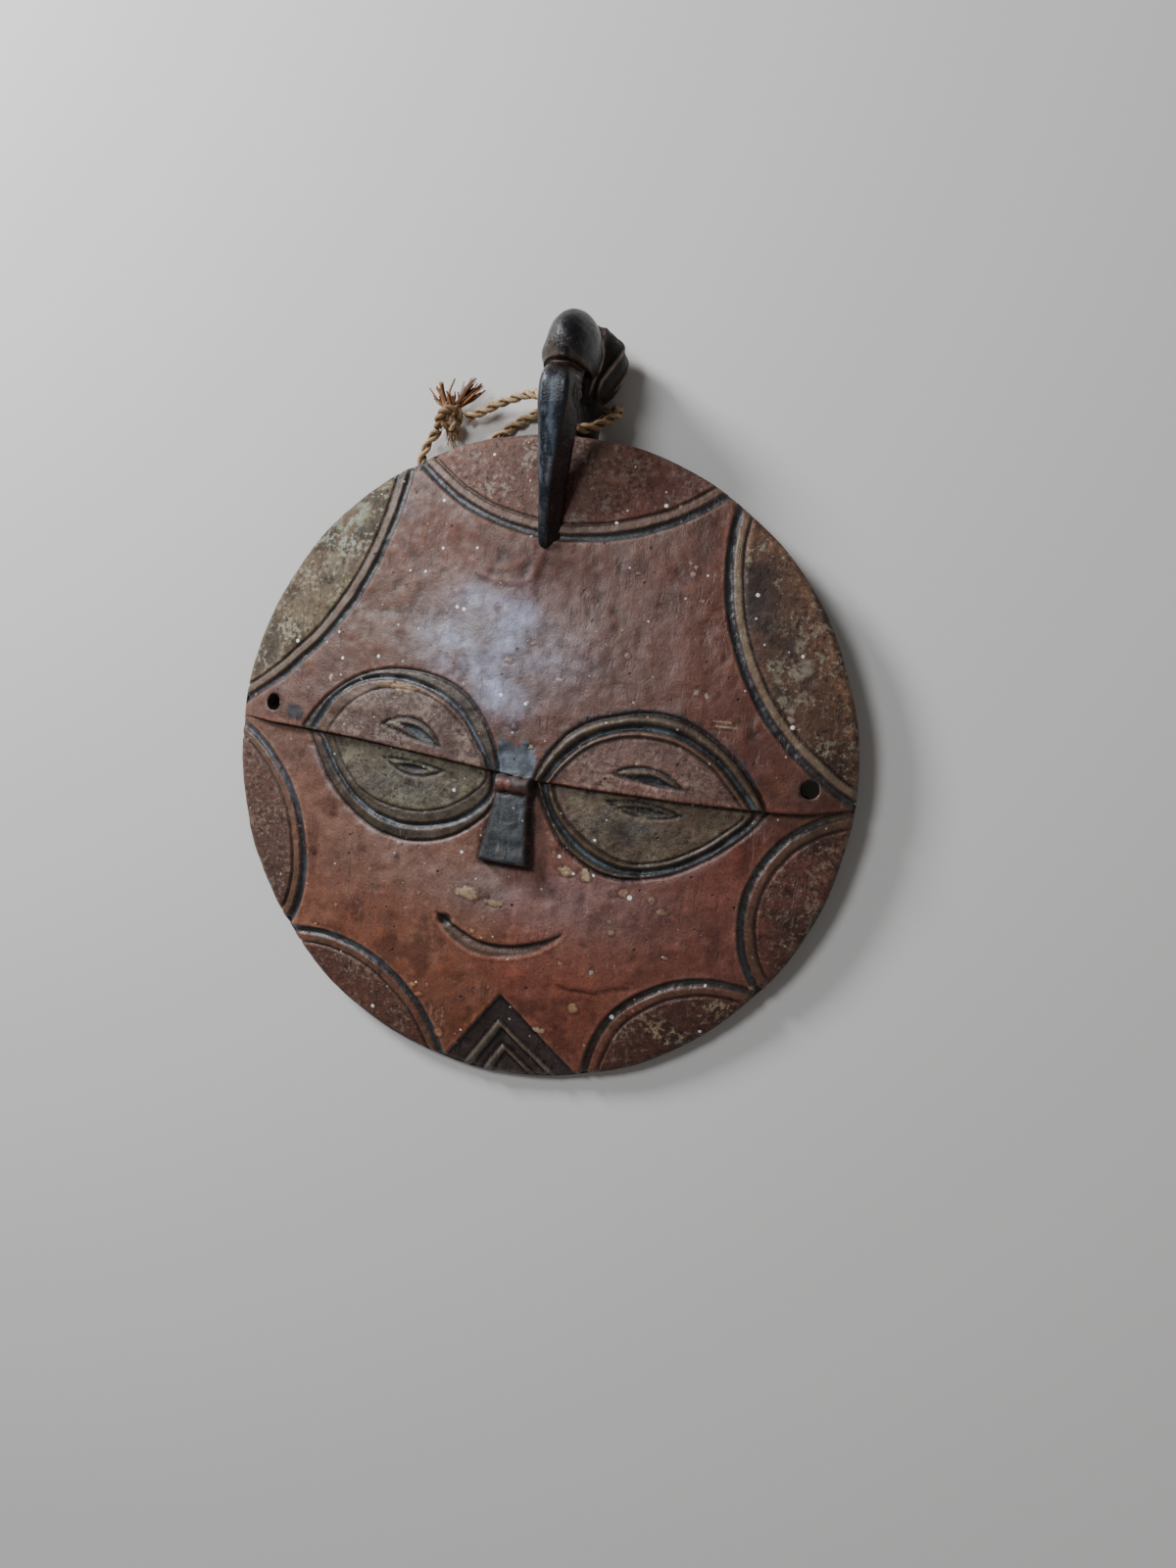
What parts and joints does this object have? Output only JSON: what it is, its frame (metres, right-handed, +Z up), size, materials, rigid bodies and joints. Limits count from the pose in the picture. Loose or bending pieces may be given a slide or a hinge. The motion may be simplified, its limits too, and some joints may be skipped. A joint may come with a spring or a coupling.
{
  "type": "tribal mask",
  "caption": "Round carved wooden face mask with almond eyes, a wedge nose, rim panels and a long-beaked bird head on top, with a twisted cord loop.",
  "frame": {"origin": "centre of the mask's bounding box, on the surface that it lies on", "axes": "+Z up, out of the face; +Y from the chin to the bird's head, the longest way; +X to the right as one looks at the face. The rim plane leans 3.7 degrees, its top end higher, because the mask lies on its lower rim and on the back of the bird's crest"},
  "size_m": [0.3, 0.3518, 0.0588],
  "materials": {
    "carved_wood": "old painted and rubbed wood, brown with grey-blue bloom, blue-black grooves and khaki ridges",
    "plant_fibre": "dull twisted straw-coloured fibre, dark brown at the frayed ends"
  },
  "bodies": {
    "root": {"mask": "carved_wood", "cord_loop": "plant_fibre", "cord_knot": "plant_fibre"}
  },
  "joints": []
}
